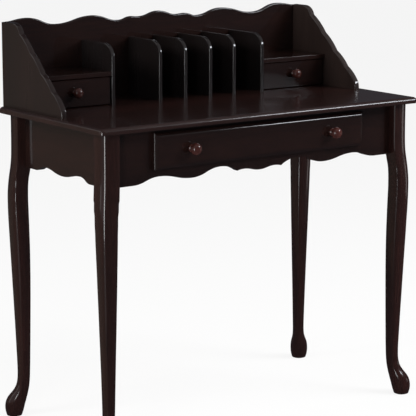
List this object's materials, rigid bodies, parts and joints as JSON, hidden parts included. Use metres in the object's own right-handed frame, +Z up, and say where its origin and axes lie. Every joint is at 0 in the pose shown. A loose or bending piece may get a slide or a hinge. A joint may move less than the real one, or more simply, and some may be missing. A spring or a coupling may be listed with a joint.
{
  "type": "writing desk",
  "caption": "Small lacquered writing desk with cabriole legs, a scalloped apron with a drawer, and a letter-slot hutch with small drawers under side shelves",
  "frame": {"origin": "The middle of the desk's bounding box on the floor, in metres.", "axes": "+X to the right of a person sitting at the desk, +Y towards the wall behind it, +Z up. The front is -Y."},
  "size_m": [0.9366, 0.4696, 0.965],
  "materials": {
    "espresso_lacquer": "near-black cherry stain under gloss lacquer",
    "plain_wood": "planed, unfinished",
    "drawer_wood": "thin satin lacquer",
    "hardboard": "smooth pressed board",
    "fastener_steel": "zinc plated",
    "beech": "plain"
  },
  "bodies": {
    "desk": {"desktop": "espresso_lacquer", "front_left_leg": "espresso_lacquer", "front_right_leg": "espresso_lacquer", "rear_left_leg": "espresso_lacquer", "rear_right_leg": "espresso_lacquer", "front_apron": "espresso_lacquer", "rear_apron": "espresso_lacquer", "left_apron": "espresso_lacquer", "right_apron": "espresso_lacquer", "hutch_back": "espresso_lacquer", "hutch_left_side": "espresso_lacquer", "hutch_right_side": "espresso_lacquer", "left_shelf": "espresso_lacquer", "right_shelf": "espresso_lacquer", "divider_1": "espresso_lacquer", "divider_2": "espresso_lacquer", "divider_3": "espresso_lacquer", "divider_4": "espresso_lacquer", "divider_5": "espresso_lacquer", "divider_6": "espresso_lacquer", "corner_blocks": "plain_wood", "left_runner": "plain_wood", "right_runner": "plain_wood", "left_kicker": "plain_wood", "right_kicker": "plain_wood", "drawer_stop": "plain_wood", "hanger_bolts": "fastener_steel", "bolt_nuts": "fastener_steel", "desktop_screws": "fastener_steel", "hutch_dowels": "beech"},
    "main_drawer": {"drawer_face": "espresso_lacquer", "drawer_box_front": "drawer_wood", "drawer_back": "drawer_wood", "drawer_bottom": "hardboard", "drawer_left_side": "drawer_wood", "drawer_right_side": "drawer_wood", "drawer_knobs": "espresso_lacquer", "drawer_knob_screws": "fastener_steel"},
    "left_small_drawer": {"left_small_drawer_front": "espresso_lacquer", "left_small_drawer_right_side": "drawer_wood", "left_small_drawer_left_side": "drawer_wood", "left_small_drawer_back": "drawer_wood", "left_small_drawer_bottom": "hardboard", "left_small_drawer_screw": "fastener_steel", "left_small_drawer_knob": "espresso_lacquer"},
    "right_small_drawer": {"right_small_drawer_front": "espresso_lacquer", "right_small_drawer_right_side": "drawer_wood", "right_small_drawer_left_side": "drawer_wood", "right_small_drawer_back": "drawer_wood", "right_small_drawer_bottom": "hardboard", "right_small_drawer_screw": "fastener_steel", "right_small_drawer_knob": "espresso_lacquer"}
  },
  "joints": [
    {"name": "main_drawer_slide", "type": "slide", "parent": "desk", "child": "main_drawer", "axis": [0, -1, 0], "range_m": [0, 0.24]},
    {"name": "left_small_drawer_slide", "type": "slide", "parent": "desk", "child": "left_small_drawer", "axis": [0, -1, 0], "range_m": [0, 0.095]},
    {"name": "right_small_drawer_slide", "type": "slide", "parent": "desk", "child": "right_small_drawer", "axis": [0, -1, 0], "range_m": [0, 0.095]}
  ]
}
